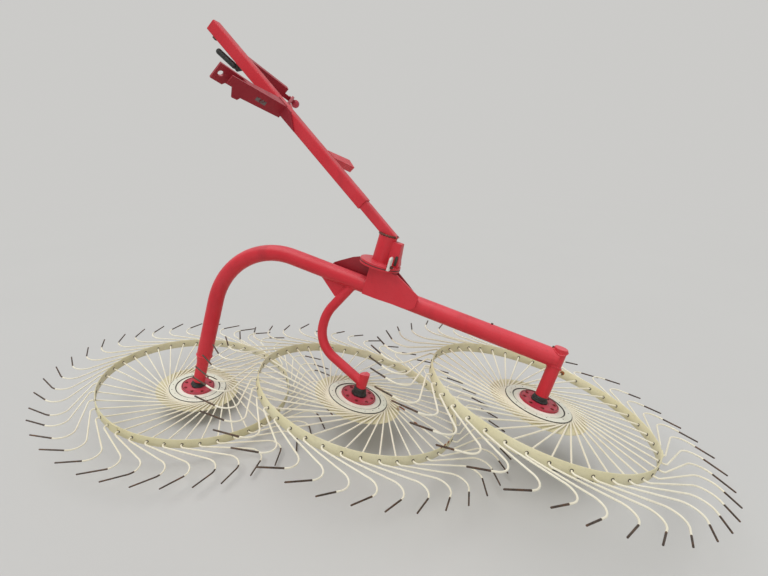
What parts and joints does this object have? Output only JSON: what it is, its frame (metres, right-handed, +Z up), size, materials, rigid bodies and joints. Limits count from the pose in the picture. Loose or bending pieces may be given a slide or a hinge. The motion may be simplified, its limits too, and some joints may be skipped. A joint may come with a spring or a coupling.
{
  "type": "wheel rake",
  "caption": "Tractor-mounted finger wheel rake with a bent tube frame, shingled tined reels, a swivel and a telescopic boom with its hitch head, parked lying on its reels.",
  "frame": {"origin": "bottom middle of the box of the parked rake, on the floor", "axes": "+X along the row of reels to the right-hand one, +Y to the back, +Z up"},
  "size_m": [3.0134, 1.4328, 1.7871],
  "materials": {
    "frame_paint": "worn red enamel",
    "grip": "matt black grip",
    "reel_paint": "worn cream enamel",
    "seal": "matt black rubber",
    "steel": "bare steel"
  },
  "bodies": {
    "frame": {"main_beam": "frame_paint", "left_leg_end": "frame_paint", "centre_arm": "frame_paint", "centre_stub": "frame_paint", "arm_gusset": "frame_paint", "right_socket": "frame_paint", "left_axle": "steel", "left_seal": "seal", "centre_axle": "steel", "centre_seal": "seal", "right_axle": "steel", "right_seal": "seal", "saddle_front": "frame_paint", "saddle_back": "frame_paint", "swivel_post": "frame_paint"},
    "mast": {"lock_pin": "steel", "swivel_sleeve": "frame_paint", "lock_box": "frame_paint", "boom_inner": "frame_paint"},
    "boom": {"boom_outer": "frame_paint", "near_link_ear": "frame_paint", "near_brace": "frame_paint", "far_link_ear": "frame_paint", "far_brace": "frame_paint", "far_strut": "frame_paint", "far_link_pin": "steel", "boom_bracket": "frame_paint", "grip_lug": "frame_paint", "head_grip": "grip"},
    "reel_left": {"left_reel": "reel_paint", "left_hub_plate": "reel_paint", "left_hub": "frame_paint"},
    "reel_centre": {"centre_reel": "reel_paint", "centre_hub_plate": "reel_paint", "centre_hub": "frame_paint"},
    "reel_right": {"right_reel": "reel_paint", "right_hub_plate": "reel_paint", "right_hub": "frame_paint"}
  },
  "joints": [
    {"name": "left_reel_spin", "type": "hinge", "parent": "frame", "child": "reel_left", "pos_m": [-0.80867, -0.01013, 0.11411], "axis": [0.1562, 0.0061, 0.9877], "continuous": true},
    {"name": "centre_reel_spin", "type": "hinge", "parent": "frame", "child": "reel_centre", "pos_m": [0.05925, 0.00215, 0.20868], "axis": [0.2639, 0.1242, 0.9565], "continuous": true},
    {"name": "right_reel_spin", "type": "hinge", "parent": "frame", "child": "reel_right", "pos_m": [0.82518, 0.01522, 0.30932], "axis": [0.2639, 0.1242, 0.9565], "continuous": true},
    {"name": "mast_swivel", "type": "hinge", "parent": "frame", "child": "mast", "pos_m": [0.14263, 0.08045, 0.81156], "axis": [0.2639, 0.1242, 0.9565], "range_deg": [-90, 90]},
    {"name": "boom_slide", "type": "slide", "parent": "mast", "child": "boom", "axis": [-0.6984, 0.0922, 0.7097], "range_m": [-0.1, 0.3]}
  ]
}
